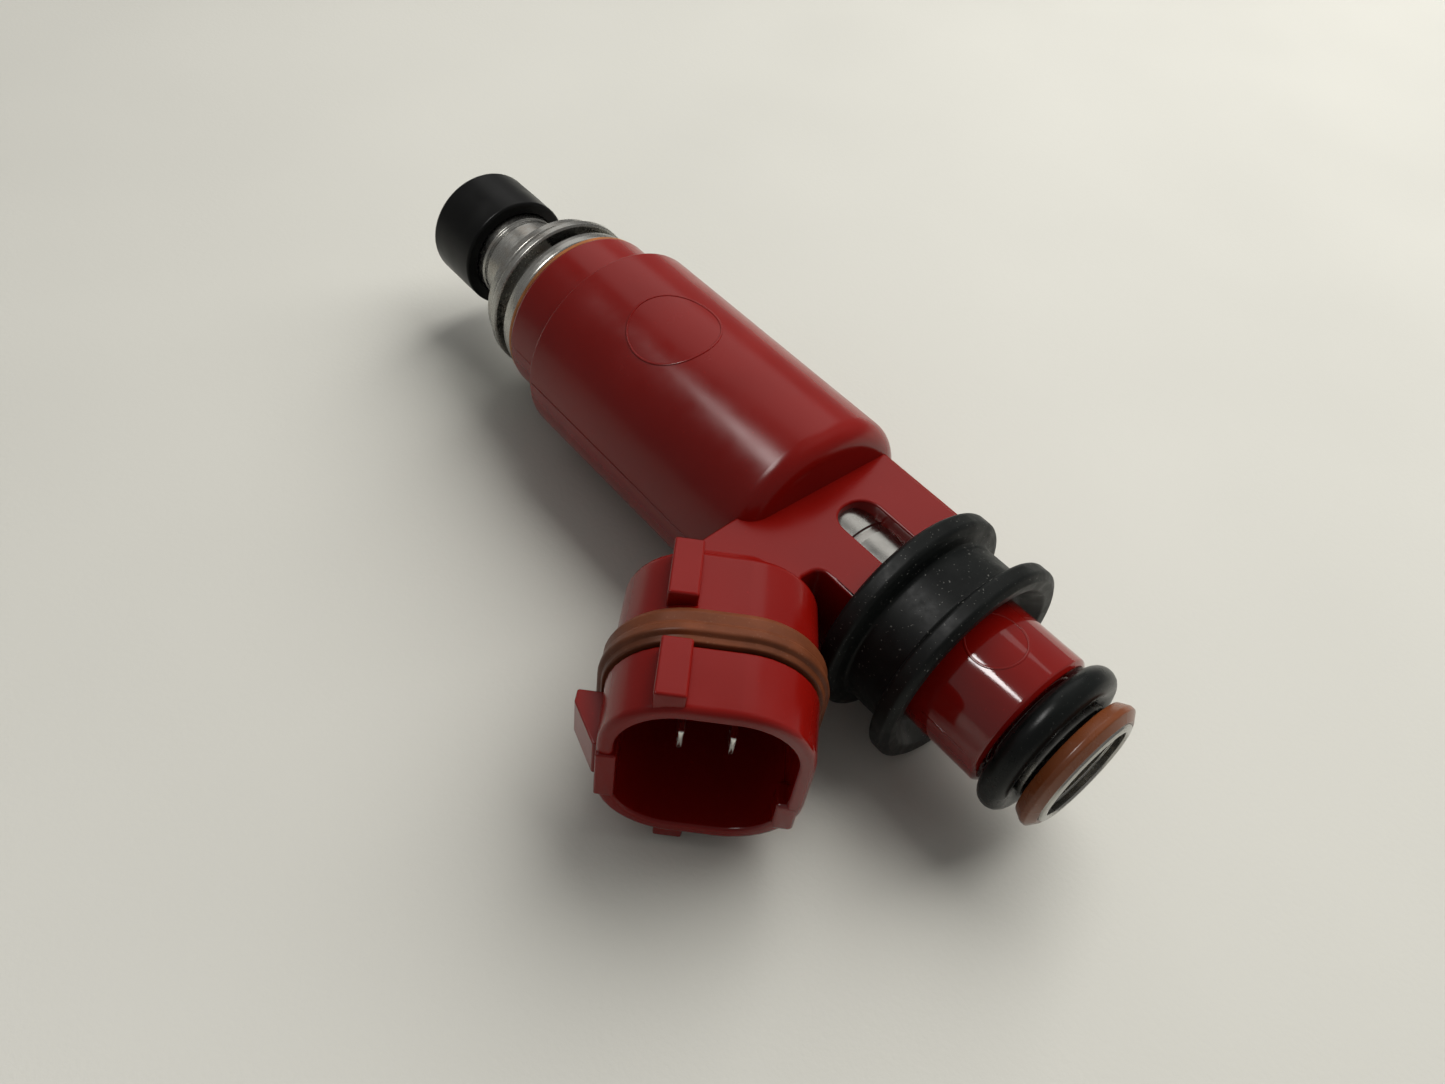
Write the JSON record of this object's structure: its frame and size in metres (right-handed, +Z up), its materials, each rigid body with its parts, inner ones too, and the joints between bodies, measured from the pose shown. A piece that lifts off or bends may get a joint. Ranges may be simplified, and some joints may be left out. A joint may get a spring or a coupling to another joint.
{
  "type": "fuel injector",
  "caption": "Top-feed fuel injector with a red moulded body, an angled plug socket, a black nozzle cap, a rubber cushion and a rail O-ring.",
  "frame": {"origin": "on the injector axis, in the plane of the open end of the nozzle cap", "axes": "+X from the nozzle to the fuel inlet, +Z up with the injector lying on its side, the plug socket leaning to -Y and +X"},
  "size_m": [0.0858, 0.0401, 0.0208],
  "materials": {
    "cap_plastic": "satin black moulding",
    "stainless": "ground",
    "turned_steel": "finely turned, slightly tarnished",
    "dark_steel": "dull",
    "magnet_steel": "turned",
    "spring_steel": "drawn wire",
    "plated_steel": "plated, satin",
    "bobbin_plastic": "natural nylon",
    "copper_wire": "enamelled copper",
    "brown_sealant": "satin",
    "housing_plastic": "glossy deep red moulding",
    "tinned_metal": "bright tin plate",
    "brown_silicone": "satin",
    "cushion_rubber": "dusty matt",
    "ring_rubber": "satin",
    "retainer_plastic": "glossy brown nylon",
    "tube_steel": "drawn stainless, bright",
    "filter_brass": "satin",
    "filter_wire": "woven"
  },
  "bodies": {
    "housing": {"nozzle_cap": "cap_plastic", "orifice_plate": "stainless", "valve_seat": "stainless", "valve_body": "turned_steel", "lift_stopper": "dark_steel", "return_spring": "spring_steel", "adjusting_tube": "stainless", "fixed_core": "magnet_steel", "non_magnetic_sleeve": "stainless", "coil_bobbin": "bobbin_plastic", "coil_winding": "copper_wire", "coil_seal_front": "ring_rubber", "coil_seal_rear": "ring_rubber", "yoke_can": "plated_steel", "yoke_washer": "magnet_steel", "collar_seal": "brown_sealant", "overmould_housing": "housing_plastic", "terminal_left": "tinned_metal", "terminal_right": "tinned_metal", "lead_left": "copper_wire", "lead_right": "copper_wire", "connector_seal": "brown_silicone", "rail_cushion": "cushion_rubber", "rail_o_ring": "ring_rubber", "retainer_ring": "retainer_plastic", "inlet_tube": "tube_steel", "filter_frame": "filter_brass", "filter_mesh": "filter_wire"},
    "plunger": {"valve_ball": "stainless", "needle": "stainless", "armature": "magnet_steel"}
  },
  "joints": [
    {"name": "plunger_lift", "type": "slide", "parent": "housing", "child": "plunger", "axis": [1, 0, 0], "range_m": [0, 0.0001], "stiffness_N_per_m": 200, "springref_m": -0.0002, "deforming": ["return_spring"]}
  ]
}
